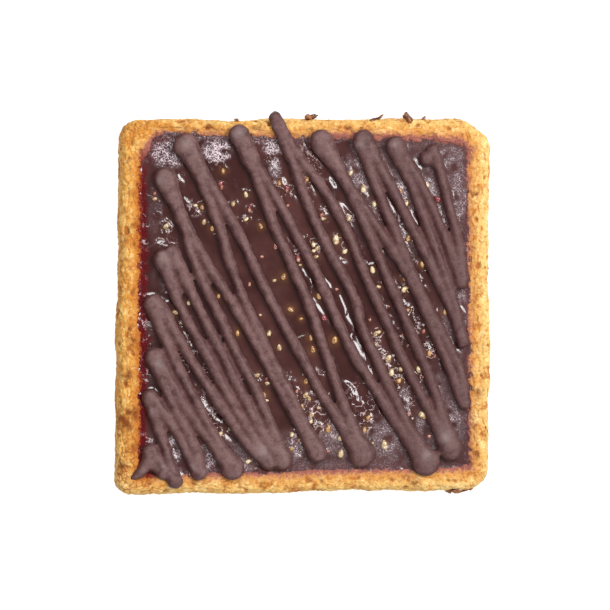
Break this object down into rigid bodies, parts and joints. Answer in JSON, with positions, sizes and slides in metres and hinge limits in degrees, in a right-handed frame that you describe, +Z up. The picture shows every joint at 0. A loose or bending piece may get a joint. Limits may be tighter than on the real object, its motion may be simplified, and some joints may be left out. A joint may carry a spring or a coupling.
{
  "type": "square jam tart with chocolate drizzle",
  "caption": "Square shortcrust tartlet filled level with dark seeded jam and crossed by a thick diagonal zigzag of dark chocolate.",
  "frame": {"origin": "centre of the flat underside, on the surface that the tart stands on", "axes": "+Z up out of the filling, +Y towards the edge that is at the top of the picture, +X towards its right edge"},
  "size_m": [0.0812, 0.0826, 0.0176],
  "materials": {
    "crust": "matte, crumbly golden baked shortcrust",
    "filling": "dark jam, wet in the middle, under satin dark chocolate"
  },
  "bodies": {
    "root": {"crust": "crust", "filling": "filling"}
  },
  "joints": []
}
